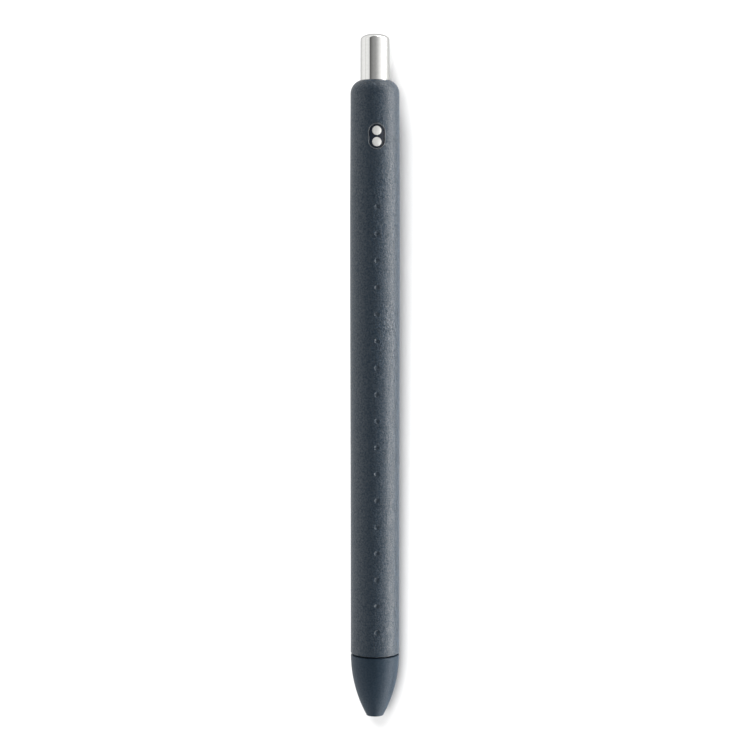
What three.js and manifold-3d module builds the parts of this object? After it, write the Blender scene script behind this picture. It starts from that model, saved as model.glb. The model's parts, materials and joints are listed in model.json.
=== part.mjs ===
// A retractable gel pen with a soft-touch barrel, at rest with its point drawn in.
// Millimetres, +Z up. The pen lies along Y with its nose toward -Y, its badge up and its
// clip underneath, so that it rests on the front of the barrel and on the clip's flat face.
// Each piece is drawn in the pen's own frame: y runs along the axis from the nose end, and
// +z is the badge side. The last lines tilt the whole pen onto its clip.
import * as THREE from 'three';
import { mergeVertices } from 'three/addons/utils/BufferGeometryUtils.js';
import Module from 'manifold-3d';

const wasm = await Module();
wasm.setup();

const { lerp, degToRad, smoothstep } = THREE.MathUtils;

// Driving dimensions.
const LENGTH = 143;
const TILT = degToRad(1.7);
const ROUND = 36; // sides of the pieces about 10 mm across
const SMALL = 24; // sides of the pieces inside them
const TOUCH = 0.05; // gap left between two pieces that sit face to face

// Barrel: a rigid tube in a soft sleeve, slightly fuller above its middle.
const SEAM = 13; // where the nose meets the barrel
const SEAM_GAP = 0.3;
const FRONT_R = 5.12;
const BELLY_R = 5.21;
const BACK_R = 5.1;
const SHOULDER_Y = 130.6; // where the rounded shoulder starts
const SHOULDER_R = 2.94;
const SLEEVE_WALL = 0.6;
const TUBE_R = 4.45;
const BORE_R = 3.2;
const CAM_BORE_R = 3.6; // the wider bore that the cam guide is pressed into
const CAM_BORE_Y = 107.3;
const BUTTON_HOLE_R = 3.12;

// Screw between the barrel's spigot and the nose: a round thread, right handed.
const SPIGOT_R = 3.45;
const SPIGOT_BORE_R = 2.98;
const SPIGOT_Y = 8;
const PITCH = 1.2;
const THREAD_WIRE_R = 0.35;
const THREAD_GAP = 0.12;
const THREAD_SIDES = 6;
const THREAD_STEPS = 14; // per turn

// Nose: an ogive that leaves the barrel in a smooth line.
const NOSE_R = 5.1;
const OGIVE_R = 26.9;
const NOSE_HOLE_R = 1.25;
const SPRING_SEAT_Y = 3.2;

// Pits down the barrel's badge side.
const PIT_COUNT = 17;
const PIT_FIRST_Y = 18.5;
const PIT_LAST_Y = 107;
const PIT_R = 0.8; // of the ball that would fit it
const PIT_DEPTH = 0.22;

// Badge.
const BADGE_Y = 121.5;
const BADGE_WIDTH = 3.6;
const BADGE_LENGTH = 5.4;
const BADGE_RIM = 0.2;
const BADGE_FACE_R = 4.92; // how far its sunk face stands from the pen's axis
const DOT_R = 0.95;
const DOT_SPACING = 2.3;

// Clip: sprung strip steel with a leg in a block on the barrel.
const CLIP_STEEL = 0.7;
const CLIP_ROOT_WIDTH = 3.9;
const CLIP_TIP_WIDTH = 3.2;
const CLIP_LEG_Y = 127.8;
const CLIP_BEND_R = 0.8;
const CLIP_FLAT_END_Y = 101;
const CLIP_TOUCH_Y = 94.5;
const CLIP_TIP_Y = 90.8;
const ANCHOR_Y = 127;
const ANCHOR_WIDTH = 5;
const ANCHOR_LENGTH = 4.8;
const ANCHOR_BOTTOM_Z = -7.5;

// Push button and the cam that holds the point out.
const STROKE = 5.9;
const BUTTON_R = 3.02;
const BUTTON_FLANGE_R = 3.45;
const BUTTON_FLANGE_Y = 128.8;
const BUTTON_WALL = 0.47;
const BUTTON_DOME = 1.2;
const PLUNGER_R = 2.4;
const CAM_TOP_Y = 122.4;
const CAM_BOTTOM_Y = 107.5;
const CAM_SLOT_R = 2.95; // bottom of the slots between the cam guide's ribs
const CAM_RIB_R = 2.5; // crest of those ribs
const CAM_REACH_R = 2.85; // how far fins and keys stand into the slots
const CAM_FINGERS = 4;
const CROWN_Y = 116.65; // where the plunger's teeth face the rotor's
const CROWN_TEETH = 8;
const TOOTH_HEIGHT = 0.7;
const ROTOR_R = 2.35;
const ROTOR_TURN = degToRad(22.5); // how far one press turns the rotor

// Refill.
const BALL_R = 0.35;
const BALL_Y = 2.05;
const TIP_R = 1.1;
const TIP_BACK_Y = 8.3;
const NECK_R = 1.55;
const COLLAR_Y = 17.3;
const REFILL_R = 2.75;
const REFILL_BORE_R = 2.25;
const REFILL_FRONT_Y = 17.4;
const REFILL_BACK_Y = 106.2;
const INK_TOP_Y = 86;
const FOLLOWER_TOP_Y = 91;
const AXLE_R = 1.2; // the tail plug's axle, which carries the rotor

// Return spring.
const SPRING_R = 2.1; // to the middle of the wire
const SPRING_WIRE_R = 0.2;
const SPRING_TURNS = 12;
const SPRING_STEPS = 14; // per turn

// Colours.
const SLATE = 0x233646;
const NEAR_BLACK = 0x15171a;
const CHROME = 0xcececc;
const STEEL = 0xb9bdc1;
const BRASS = 0xb79a5b;
const INK = 0x101114;
const CLEAR_PLASTIC = 0xd9dde0;
const GREASE = 0xd8cf9c;
const PEARL = 0xe7e7e4;

function material(color, roughness, metalness = 0) {
  return new THREE.MeshStandardMaterial({ color, roughness, metalness });
}

const softTouch = material(SLATE, 0.62);
const darkPlastic = material(NEAR_BLACK, 0.45);
const glossBlack = material(NEAR_BLACK, 0.12);
const pearl = material(PEARL, 0.5, 1);
const chrome = material(CHROME, 0.06, 1);
const steel = material(STEEL, 0.3, 1);
const brass = material(BRASS, 0.3, 1);
const white = material(CLEAR_PLASTIC, 0.4);
const clear = new THREE.MeshStandardMaterial({
  color: CLEAR_PLASTIC,
  roughness: 0.2,
  transparent: true,
  opacity: 0.4,
});
const ink = material(INK, 0.3);
const grease = material(GREASE, 0.3);

// A closed geometry as a solid that can be cut and joined.
function solid(geometry) {
  geometry.deleteAttribute('normal');
  geometry.deleteAttribute('uv');
  const merged = mergeVertices(geometry, 1e-4);
  const corners = merged.index.array;
  const triVerts = [];
  for (let i = 0; i < corners.length; i += 3) {
    const [a, b, c] = corners.slice(i, i + 3);
    if (a !== b && b !== c && c !== a) {
      triVerts.push(a, b, c);
    }
  }
  return new wasm.Manifold(new wasm.Mesh({
    numProp: 3,
    vertProperties: new Float32Array(merged.attributes.position.array),
    triVerts: new Uint32Array(triVerts),
  }));
}

function geometryOf(manifold) {
  const mesh = manifold.getMesh();
  const geometry = new THREE.BufferGeometry();
  geometry.setAttribute('position', new THREE.BufferAttribute(mesh.vertProperties, 3));
  geometry.setIndex(new THREE.BufferAttribute(mesh.triVerts, 1));
  return geometry;
}

// A profile of [radius, y] points turned about the pen's axis. It runs up the outside and
// down the inside, and either closes on itself or starts and ends on the axis.
function turned(profile, sides) {
  return new THREE.LatheGeometry(profile.map(([r, y]) => new THREE.Vector2(r, y)), sides);
}

function ring(inner, outer, bottom, top, sides) {
  return turned([[inner, bottom], [outer, bottom], [outer, top], [inner, top], [inner, bottom]], sides);
}

function rod(radius, bottom, top, sides) {
  return turned([[0, bottom], [radius, bottom], [radius, top], [0, top]], sides);
}

// Points of an arc in [radius, y], from one angle to another above the radius direction.
function arc(centreR, centreY, radius, from, to, steps) {
  const points = [];
  for (let i = 0; i <= steps; i += 1) {
    const angle = lerp(from, to, i / steps);
    points.push([centreR + radius * Math.cos(angle), centreY + radius * Math.sin(angle)]);
  }
  return points;
}

function flatShape(points) {
  return new THREE.Shape(points.map(([x, y]) => new THREE.Vector2(x, y)));
}

// A flat outline pushed along z from one height to another.
function pushed(shape, from, to) {
  const geometry = new THREE.ExtrudeGeometry(shape, {
    depth: to - from,
    bevelEnabled: false,
    curveSegments: 8,
  });
  return geometry.translate(0, 0, from);
}

// The same, standing out from the pen's axis at an angle about it.
function radial(shape, from, to, angle) {
  return pushed(shape, from, to).rotateY(angle);
}

// A slot-shaped outline, centred on the axis at a given y.
function stadium(width, length, y) {
  const r = width / 2;
  const reach = (length - width) / 2;
  const shape = new THREE.Shape();
  shape.absarc(0, y + reach, r, 0, Math.PI);
  shape.absarc(0, y - reach, r, Math.PI, 2 * Math.PI);
  shape.closePath();
  return shape;
}

function roundedBox(width, length, y, corner) {
  const x = width / 2 - corner;
  const reach = length / 2 - corner;
  const shape = new THREE.Shape();
  shape.absarc(x, y + reach, corner, 0, Math.PI / 2);
  shape.absarc(-x, y + reach, corner, Math.PI / 2, Math.PI);
  shape.absarc(-x, y - reach, corner, Math.PI, 1.5 * Math.PI);
  shape.absarc(x, y - reach, corner, 1.5 * Math.PI, 2 * Math.PI);
  shape.closePath();
  return shape;
}

function circle(radius) {
  const shape = new THREE.Shape();
  shape.absarc(0, 0, radius, 0, 2 * Math.PI);
  return shape;
}

// A round bar along a curve. Its section has twice as many sides as curveSegments.
function bar(curve, radius, steps, sides) {
  return new THREE.ExtrudeGeometry(circle(radius), {
    steps,
    extrudePath: curve,
    curveSegments: sides / 2,
  });
}

// A right-handed screw line about the pen's axis. Lines of one pitch lie on one another.
class ScrewLine extends THREE.Curve {
  constructor(radius, bottom, top) {
    super();
    this.radius = radius;
    this.bottom = bottom;
    this.top = top;
  }

  getPoint(t, target = new THREE.Vector3()) {
    const y = lerp(this.bottom, this.top, t);
    const angle = (2 * Math.PI * y) / PITCH;
    return target.set(this.radius * Math.sin(angle), y, this.radius * Math.cos(angle));
  }
}

// The spring's wire: one dead turn closes up at each end.
class SpringLine extends THREE.Curve {
  constructor(bottom, top) {
    super();
    this.bottom = bottom + SPRING_WIRE_R;
    this.height = top - bottom - 2 * SPRING_WIRE_R;
  }

  rise(turns) {
    const dead = (2.1 * SPRING_WIRE_R) / this.height;
    if (turns < 1) {
      return dead * turns;
    }
    if (turns > SPRING_TURNS - 1) {
      return 1 - dead * (SPRING_TURNS - turns);
    }
    return lerp(dead, 1 - dead, (turns - 1) / (SPRING_TURNS - 2));
  }

  getPoint(t, target = new THREE.Vector3()) {
    const turns = t * SPRING_TURNS;
    const angle = 2 * Math.PI * turns;
    const y = this.bottom + this.height * this.rise(turns);
    return target.set(SPRING_R * Math.sin(angle), y, SPRING_R * Math.cos(angle));
  }
}

function screwThread(radius, wire, bottom, top) {
  const steps = Math.round(((top - bottom) / PITCH) * THREAD_STEPS);
  return solid(bar(new ScrewLine(radius, bottom, top), wire, steps, THREAD_SIDES));
}

function barrelRadius(y) {
  const swell = (BELLY_R - FRONT_R) * smoothstep(y, 37, 97);
  const ease = (BELLY_R - BACK_R) * smoothstep(y, 104, SHOULDER_Y);
  return FRONT_R + swell - ease;
}

// The plane that the pen rests on, as a z in the pen's own frame.
function restZ(y) {
  return -(FRONT_R + 0.005 + (y - SEAM) * Math.tan(TILT));
}

// The shoulder's arc at some depth under the sleeve's surface, in to a hole.
function shoulder(depth, hole, steps) {
  const centreR = BACK_R - SHOULDER_R;
  const radius = SHOULDER_R - depth;
  const last = Math.acos((hole - centreR) / radius);
  return arc(centreR, SHOULDER_Y, radius, 0, last, steps);
}

function barrelTube() {
  const depth = BACK_R - TUBE_R;
  const profile = [
    [SPIGOT_BORE_R, SPIGOT_Y],
    [SPIGOT_R, SPIGOT_Y],
    [SPIGOT_R, SEAM + TOUCH],
    [TUBE_R, SEAM + TOUCH],
    ...shoulder(depth, CAM_BORE_R, 4),
    [CAM_BORE_R, CAM_BORE_Y],
    [BORE_R, CAM_BORE_Y],
    [BORE_R, SEAM + 1.6],
    [SPIGOT_BORE_R, SEAM + 1],
    [SPIGOT_BORE_R, SPIGOT_Y],
  ];
  const thread = screwThread(SPIGOT_R, THREAD_WIRE_R, SPIGOT_Y + 0.6, SEAM - 0.3);
  return geometryOf(solid(turned(profile, ROUND)).add(thread));
}

function barrelSleeve() {
  const bottom = SEAM + SEAM_GAP;
  const innerR = BACK_R - SLEEVE_WALL;
  const steps = 11;
  const profile = [[innerR, bottom], [barrelRadius(bottom) - 0.12, bottom]];
  for (let i = 0; i < steps; i += 1) {
    const y = lerp(bottom + 0.12, SHOULDER_Y, i / steps);
    profile.push([barrelRadius(y), y]);
  }
  profile.push(...shoulder(0, BUTTON_HOLE_R, 6));
  profile.push(...shoulder(SLEEVE_WALL, BUTTON_HOLE_R, 4).reverse());
  profile.push([innerR, bottom]);
  let sleeve = solid(turned(profile, ROUND));
  const badge = stadium(BADGE_WIDTH + 2 * TOUCH, BADGE_LENGTH + 2 * TOUCH, BADGE_Y);
  sleeve = sleeve.subtract(solid(pushed(badge, 3, 7)));
  const window = roundedBox(ANCHOR_WIDTH + 0.3, ANCHOR_LENGTH + 0.3, ANCHOR_Y, 0.8);
  sleeve = sleeve.subtract(solid(pushed(window, -7, -3)));
  for (let i = 0; i < PIT_COUNT; i += 1) {
    const y = lerp(PIT_FIRST_Y, PIT_LAST_Y, i / (PIT_COUNT - 1));
    const pit = new THREE.SphereGeometry(PIT_R, 18, 16);
    pit.translate(0, y, barrelRadius(y) + PIT_R - PIT_DEPTH);
    sleeve = sleeve.subtract(solid(pit));
  }
  return geometryOf(sleeve);
}

function endBushing() {
  return ring(BUTTON_HOLE_R, CAM_BORE_R - TOUCH, 130.3, 132.4, SMALL);
}

// A piece of the badge: an upright slice of a shell about the pen's axis.
function badgePiece(outline, inner, outer) {
  const shell = solid(ring(inner, outer, BADGE_Y - 4, BADGE_Y + 4, ROUND));
  return shell.intersect(solid(pushed(outline, 3, 7)));
}

function badgeRim() {
  const outer = stadium(BADGE_WIDTH, BADGE_LENGTH, BADGE_Y);
  const inner = stadium(BADGE_WIDTH - 2 * BADGE_RIM, BADGE_LENGTH - 2 * BADGE_RIM, BADGE_Y);
  const body = badgePiece(outer, TUBE_R + 0.08, barrelRadius(BADGE_Y) + 0.07);
  return geometryOf(body.subtract(solid(pushed(inner, 3, 7))));
}

function badgePlate() {
  const inset = 2 * (BADGE_RIM + TOUCH);
  const outline = stadium(BADGE_WIDTH - inset, BADGE_LENGTH - inset, BADGE_Y);
  return geometryOf(badgePiece(outline, TUBE_R + 0.08, BADGE_FACE_R));
}

function badgeDot(y) {
  const outline = new THREE.Shape();
  outline.absarc(0, y, DOT_R, 0, 2 * Math.PI);
  return geometryOf(badgePiece(outline, BADGE_FACE_R + 0.03, BADGE_FACE_R + 0.15));
}

function clipAnchor() {
  const outline = roundedBox(ANCHOR_WIDTH, ANCHOR_LENGTH, ANCHOR_Y, 0.7);
  const block = solid(pushed(outline, ANCHOR_BOTTOM_Z, -3));
  const barrel = solid(rod(TUBE_R + 0.08, 120, 135, ROUND));
  const back = CLIP_LEG_Y + CLIP_STEEL / 2 + 0.15;
  const front = CLIP_LEG_Y - CLIP_STEEL / 2 - 0.4;
  const half = CLIP_ROOT_WIDTH / 2 + 0.15;
  const pocket = flatShape([[-half, front], [half, front], [half, back], [-half, back]]);
  return geometryOf(block.subtract(barrel).subtract(solid(pushed(pocket, -8, -3))));
}

// The clip's side view: the middle line of the steel, in [y, z], from the leg to the tip.
function clipMiddleLine() {
  const middle = (y) => restZ(y) + CLIP_STEEL / 2;
  const bendZ = middle(CLIP_LEG_Y - CLIP_BEND_R);
  const touchZ = -(BELLY_R + TOUCH + CLIP_STEEL / 2);
  const line = new THREE.CurvePath();
  const at = (y, z) => new THREE.Vector2(y, z);
  line.add(new THREE.LineCurve(at(CLIP_LEG_Y, -4.8), at(CLIP_LEG_Y, bendZ + CLIP_BEND_R)));
  line.add(new THREE.QuadraticBezierCurve(
    at(CLIP_LEG_Y, bendZ + CLIP_BEND_R),
    at(CLIP_LEG_Y, bendZ),
    at(CLIP_LEG_Y - CLIP_BEND_R, bendZ),
  ));
  line.add(new THREE.LineCurve(
    at(CLIP_LEG_Y - CLIP_BEND_R, bendZ),
    at(CLIP_FLAT_END_Y, middle(CLIP_FLAT_END_Y)),
  ));
  line.add(new THREE.CubicBezierCurve(
    at(CLIP_FLAT_END_Y, middle(CLIP_FLAT_END_Y)),
    at(CLIP_FLAT_END_Y - 3, middle(CLIP_FLAT_END_Y - 3)),
    at(CLIP_TOUCH_Y + 2.5, touchZ),
    at(CLIP_TOUCH_Y, touchZ),
  ));
  line.add(new THREE.QuadraticBezierCurve(
    at(CLIP_TOUCH_Y, touchZ),
    at(CLIP_TOUCH_Y - 2, touchZ),
    at(CLIP_TIP_Y, touchZ - 1.1),
  ));
  return line.getPoints(7);
}

function clip() {
  const line = clipMiddleLine();
  const sides = line.map((point, i) => {
    const before = line[Math.max(i - 1, 0)];
    const after = line[Math.min(i + 1, line.length - 1)];
    const along = after.clone().sub(before).normalize();
    return new THREE.Vector2(-along.y, along.x).multiplyScalar(CLIP_STEEL / 2);
  });
  const one = line.map((point, i) => point.clone().add(sides[i]));
  const other = line.map((point, i) => point.clone().sub(sides[i])).reverse();
  const strip = pushed(new THREE.Shape([...one, ...other]), -CLIP_ROOT_WIDTH / 2, CLIP_ROOT_WIDTH / 2);
  const sideways = new THREE.Matrix4().makeBasis(
    new THREE.Vector3(0, 1, 0),
    new THREE.Vector3(0, 0, 1),
    new THREE.Vector3(1, 0, 0),
  );
  strip.applyMatrix4(sideways);
  const root = CLIP_ROOT_WIDTH / 2;
  const tip = CLIP_TIP_WIDTH / 2;
  const plan = new THREE.Shape();
  plan.moveTo(root + 0.1, 130);
  plan.lineTo(-root - 0.1, 130);
  plan.lineTo(-root, 124);
  plan.lineTo(-tip, CLIP_TIP_Y + tip);
  plan.absarc(0, CLIP_TIP_Y + tip, tip, Math.PI, 2 * Math.PI);
  plan.lineTo(root, 124);
  plan.closePath();
  return geometryOf(solid(strip).intersect(solid(pushed(plan, -12, 0))));
}

function camGuide() {
  let guide = solid(ring(CAM_SLOT_R, CAM_BORE_R - TOUCH, CAM_BOTTOM_Y, CAM_TOP_Y, SMALL));
  const half = 0.42;
  const rib = flatShape([[-half, 111.7], [half, 112.4], [half, 119.7], [-half, 119.7]]);
  for (let i = 0; i < CAM_FINGERS; i += 1) {
    const angle = (2 * Math.PI * (i + 0.5)) / CAM_FINGERS;
    guide = guide.add(solid(radial(rib, CAM_RIB_R, CAM_SLOT_R + 0.2, angle)));
  }
  return geometryOf(guide);
}

// Notches round the end of a sleeve, which leave a crown of teeth. side is -1 for a crown
// at the lower end and 1 for one at the upper end.
function cutCrown(body, side) {
  const base = CROWN_Y - side * 0.05;
  const notch = flatShape([
    [-0.6 * side, base + side * 0.1],
    [0, base - side * TOOTH_HEIGHT],
    [0.6 * side, base + side * 0.1],
  ]);
  for (let i = 0; i < CROWN_TEETH; i += 1) {
    const angle = (2 * Math.PI * i) / CROWN_TEETH;
    body = body.subtract(solid(radial(notch, 1, 3, angle)));
  }
  return body;
}

function plunger() {
  const bottom = CROWN_Y + 0.05;
  const top = LENGTH - BUTTON_DOME - 1.2;
  const profile = [[0, 124], [1.5, 124], [1.5, bottom], [PLUNGER_R, bottom], [PLUNGER_R, top], [0, top]];
  let body = cutCrown(solid(turned(profile, SMALL)), -1);
  const half = 0.35;
  const key = flatShape([[-half, 118], [half, 118], [half, 121], [-half, 121]]);
  for (let i = 0; i < CAM_FINGERS; i += 1) {
    const angle = (2 * Math.PI * i) / CAM_FINGERS;
    body = body.add(solid(radial(key, PLUNGER_R - 0.2, CAM_REACH_R, angle)));
  }
  return geometryOf(body);
}

function rotor() {
  const bottom = 108.9;
  let body = solid(ring(AXLE_R + 0.15, ROTOR_R, bottom, CROWN_Y - 0.05, SMALL));
  body = cutCrown(body, 1);
  const half = 0.32;
  const fin = flatShape([[-half, 112.7], [half, 112.7], [half, 115.5], [-half, 116.2]]);
  for (let i = 0; i < CAM_FINGERS; i += 1) {
    const angle = (2 * Math.PI * i) / CAM_FINGERS + ROTOR_TURN / 2;
    body = body.add(solid(radial(fin, ROTOR_R - 0.2, CAM_REACH_R, angle)));
  }
  return geometryOf(body);
}

function pushButton() {
  const inner = BUTTON_R - BUTTON_WALL;
  const edge = LENGTH - BUTTON_DOME;
  const profile = [
    [0, edge - 0.8],
    [inner, edge - 0.8],
    [inner, BUTTON_FLANGE_Y],
    [BUTTON_FLANGE_R, BUTTON_FLANGE_Y],
    [BUTTON_FLANGE_R, 130],
    [BUTTON_R, 130.2],
  ];
  const steps = 7;
  for (let i = 0; i <= steps; i += 1) {
    const angle = (i / steps) * (Math.PI / 2);
    const r = i === steps ? 0 : BUTTON_R * Math.cos(angle);
    profile.push([r, edge + BUTTON_DOME * Math.sin(angle)]);
  }
  return turned(profile, ROUND);
}

function tipCone() {
  const socket = BALL_R + 0.025;
  const lipY = BALL_Y - 0.12;
  const channel = 0.2;
  const socketArc = arc(0, BALL_Y, socket, Math.acos(channel / socket), -Math.asin(0.12 / socket), 4);
  const profile = [
    socketArc[4],
    [0.42, lipY + 0.02],
    [TIP_R, 5],
    [TIP_R, TIP_BACK_Y],
    [0.95, TIP_BACK_Y],
    [0.95, 11.3],
    [0.5, 11.3],
    [0.5, 6],
    [channel, 5.6],
    ...socketArc,
  ];
  return turned(profile, SMALL);
}

function writingBall() {
  return new THREE.SphereGeometry(BALL_R, 12, 8).translate(0, BALL_Y, 0);
}

function tipHolder() {
  return turned([
    [1, TIP_BACK_Y + 0.1],
    [NECK_R - 0.1, TIP_BACK_Y + 0.1],
    [NECK_R, TIP_BACK_Y + 0.3],
    [NECK_R, 16.6],
    [REFILL_R - TOUCH, 16.6],
    [REFILL_R - TOUCH, COLLAR_Y],
    [REFILL_BORE_R - TOUCH, COLLAR_Y],
    [REFILL_BORE_R - TOUCH, 22],
    [0.75, 22],
    [0.75, 11.6],
    [1, 11.4],
    [1, TIP_BACK_Y + 0.1],
  ], SMALL);
}

function refillTube() {
  return ring(REFILL_BORE_R, REFILL_R, REFILL_FRONT_Y, REFILL_BACK_Y, SMALL);
}

function inkColumn() {
  return rod(REFILL_BORE_R - TOUCH, 22.2, INK_TOP_Y, SMALL);
}

function gelFollower() {
  return rod(REFILL_BORE_R - TOUCH, INK_TOP_Y + TOUCH, FOLLOWER_TOP_Y, SMALL);
}

function tailPlug() {
  return turned([
    [0.4, 101],
    [REFILL_BORE_R - TOUCH, 101],
    [REFILL_BORE_R - TOUCH, REFILL_BACK_Y + 0.1],
    [REFILL_R, REFILL_BACK_Y + 0.1],
    [REFILL_R, 108.7],
    [AXLE_R, 108.7],
    [AXLE_R, 115.8],
    [0.4, 115.8],
    [0.4, 101],
  ], SMALL);
}

function returnSpring() {
  const line = new SpringLine(SPRING_SEAT_Y + 0.08, 16.52);
  return bar(line, SPRING_WIRE_R, SPRING_TURNS * SPRING_STEPS, 6);
}

function noseCone() {
  const reach = SEAM - 0.12;
  const first = Math.asin((SEAM - 0.12) / OGIVE_R);
  const ogive = arc(NOSE_R - OGIVE_R, SEAM, OGIVE_R, -first, -0.12 / reach, 12);
  const threadR = SPIGOT_R + 0.1;
  const springR = SPRING_R + SPRING_WIRE_R + 0.3;
  const profile = [
    [NOSE_HOLE_R, 0],
    [ogive[0][0] - 0.1, 0],
    ...ogive,
    [NOSE_R - 0.12, SEAM],
    [threadR, SEAM],
    [threadR, SPIGOT_Y - 0.2],
    [springR, SPIGOT_Y - 0.5],
    [springR, SPRING_SEAT_Y],
    [1.75, SPRING_SEAT_Y],
    [1.75, 2.6],
    [NOSE_HOLE_R, 1.9],
    [NOSE_HOLE_R, 0],
  ];
  const groove = screwThread(SPIGOT_R, THREAD_WIRE_R + THREAD_GAP, SPIGOT_Y + 0.4, SEAM + 1);
  return geometryOf(solid(turned(profile, ROUND)).subtract(groove));
}

const pen = new THREE.Group();

function place(name, geometry, finish) {
  const mesh = new THREE.Mesh(geometry, finish.clone());
  mesh.name = name;
  pen.add(mesh);
}

place('barrel_tube', barrelTube(), darkPlastic);
place('barrel_sleeve', barrelSleeve(), softTouch);
place('end_bushing', endBushing(), darkPlastic);
place('cam_guide', camGuide(), white);
place('badge_rim', badgeRim(), softTouch);
place('badge_plate', badgePlate(), glossBlack);
place('badge_dot_front', badgeDot(BADGE_Y - DOT_SPACING / 2), pearl);
place('badge_dot_back', badgeDot(BADGE_Y + DOT_SPACING / 2), pearl);
place('clip_anchor', clipAnchor(), darkPlastic);
place('clip', clip(), chrome);
place('push_button', pushButton(), chrome);
place('plunger', plunger(), white);
place('rotor', rotor(), white);
place('refill_tube', refillTube(), clear);
place('ink_column', inkColumn(), ink);
place('gel_follower', gelFollower(), grease);
place('tail_plug', tailPlug(), darkPlastic);
place('tip_holder', tipHolder(), white);
place('tip_cone', tipCone(), brass);
place('writing_ball', writingBall(), steel);
place('return_spring', returnSpring(), steel);
place('nose_cone', noseCone(), softTouch);

// Tilted onto the clip, with the middle of its base at the origin.
pen.rotation.x = TILT;
pen.position.y = (-LENGTH / 2) * Math.cos(TILT);
pen.position.z = -(SEAM * Math.sin(TILT) + restZ(SEAM) * Math.cos(TILT));

const part = new THREE.Group();
part.add(pen);

export default part;
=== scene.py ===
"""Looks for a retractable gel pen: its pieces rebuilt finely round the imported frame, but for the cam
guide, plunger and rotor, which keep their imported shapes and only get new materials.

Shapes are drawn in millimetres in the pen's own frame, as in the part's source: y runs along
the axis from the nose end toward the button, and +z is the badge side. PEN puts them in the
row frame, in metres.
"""

import json
import math

import bmesh
import bpy
from mathutils import Matrix, Vector


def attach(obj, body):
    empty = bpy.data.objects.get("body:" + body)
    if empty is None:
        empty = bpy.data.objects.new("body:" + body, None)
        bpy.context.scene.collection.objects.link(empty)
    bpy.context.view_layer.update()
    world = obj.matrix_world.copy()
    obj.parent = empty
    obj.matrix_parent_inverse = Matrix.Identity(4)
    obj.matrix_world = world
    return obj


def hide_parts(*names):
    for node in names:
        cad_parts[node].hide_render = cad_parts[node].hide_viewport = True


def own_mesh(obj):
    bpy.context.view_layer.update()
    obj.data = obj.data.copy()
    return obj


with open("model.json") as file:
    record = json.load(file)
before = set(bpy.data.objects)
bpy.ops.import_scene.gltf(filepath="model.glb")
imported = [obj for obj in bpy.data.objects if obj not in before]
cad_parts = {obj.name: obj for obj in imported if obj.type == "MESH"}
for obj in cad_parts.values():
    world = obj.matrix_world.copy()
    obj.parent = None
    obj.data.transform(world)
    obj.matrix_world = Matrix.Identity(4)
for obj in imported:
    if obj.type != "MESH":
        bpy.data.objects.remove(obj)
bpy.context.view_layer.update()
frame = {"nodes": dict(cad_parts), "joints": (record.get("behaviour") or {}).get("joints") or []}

MM = 0.001

# Driving dimensions, the same as the part's.
LENGTH = 143.0
SEAM = 13.0
SEAM_GAP = 0.3
FRONT_R = 5.12
BELLY_R = 5.21
BACK_R = 5.1
BELLY_START_Y = 37.0
BELLY_FULL_Y = 97.0
TAPER_START_Y = 104.0
SHOULDER_Y = 130.6
SHOULDER_R = 2.94
SLEEVE_WALL = 0.6
TUBE_R = 4.45
BORE_R = 3.2
CAM_BORE_R = 3.6
CAM_BORE_Y = 107.3
BUTTON_HOLE_R = 3.12
BUSHING_FRONT_Y = 130.3
BUSHING_BACK_Y = 132.35

SPIGOT_R = 3.45
SPIGOT_BORE_R = 2.98
SPIGOT_Y = 8.0
PITCH = 1.2
THREAD_R = 0.35
THREAD_GAP = 0.12

NOSE_R = 5.1
OGIVE_R = 26.9
NOSE_HOLE_R = 1.25
SPRING_SEAT_Y = 3.2

PIT_COUNT = 17
PIT_FIRST_Y = 18.5
PIT_LAST_Y = 107.0
PIT_R = 0.8  # of the ball that would fit it
PIT_DEPTH = 0.22
PIT_LIP = 0.1  # how far out the skin rounds over into a pit
PIT_PITCH = (PIT_LAST_Y - PIT_FIRST_Y) / (PIT_COUNT - 1)
PIT_RIM_R = math.sqrt(PIT_R**2 - (PIT_R - PIT_DEPTH) ** 2)

BADGE_Y = 121.5
BADGE_WIDTH = 3.6
BADGE_LENGTH = 5.4
BADGE_RIM = 0.2
BADGE_FACE_R = 4.92
BADGE_BED_R = TUBE_R + 0.08  # the bottom of the pieces that stand on the tube
DOT_R = 0.95
DOT_SPACING = 2.3

CLIP_STEEL = 0.7
CLIP_ROOT_WIDTH = 3.9
CLIP_TIP_WIDTH = 3.2
CLIP_WIDE_Y = 124.0  # the clip is parallel behind this, and tapers in front of it
CLIP_LEG_Y = 127.8
CLIP_BEND_R = 0.8
CLIP_FLAT_END_Y = 101.0
CLIP_TOUCH_Y = 94.5
CLIP_TIP_Y = 90.8
ANCHOR_Y = 127.0
ANCHOR_WIDTH = 5.0
ANCHOR_LENGTH = 4.8
ANCHOR_BOTTOM_Z = -7.5

BUTTON_R = 3.02
BUTTON_FLANGE_R = 3.45
BUTTON_FLANGE_Y = 128.8
BUTTON_WALL = 0.47
BUTTON_DOME = 1.2

BALL_R = 0.35
BALL_Y = 2.05
TIP_R = 1.1
TIP_BACK_Y = 8.3
NECK_R = 1.55
COLLAR_Y = 17.3
REFILL_R = 2.75
REFILL_BORE_R = 2.25
PLUG_R = REFILL_BORE_R - 0.05  # of whatever fills the refill's bore
HOLDER_FLANGE_Y = 16.6
HOLDER_BACK_Y = 22.0
HOLDER_BORE_R = 0.75
REFILL_FRONT_Y = 17.4
REFILL_BACK_Y = 106.2
INK_BOTTOM_Y = 22.2
INK_TOP_Y = 86.0
FOLLOWER_TOP_Y = 91.0
TAIL_FRONT_Y = 101.0
TAIL_BACK_Y = 108.7
AXLE_R = 1.2
AXLE_END_Y = 115.8
VENT_R = 0.4

SPRING_R = 2.1
SPRING_WIRE_R = 0.2
SPRING_TURNS = 12
SPRING_FRONT_Y = SPRING_SEAT_Y + 0.08
SPRING_BACK_Y = 16.52

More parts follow.
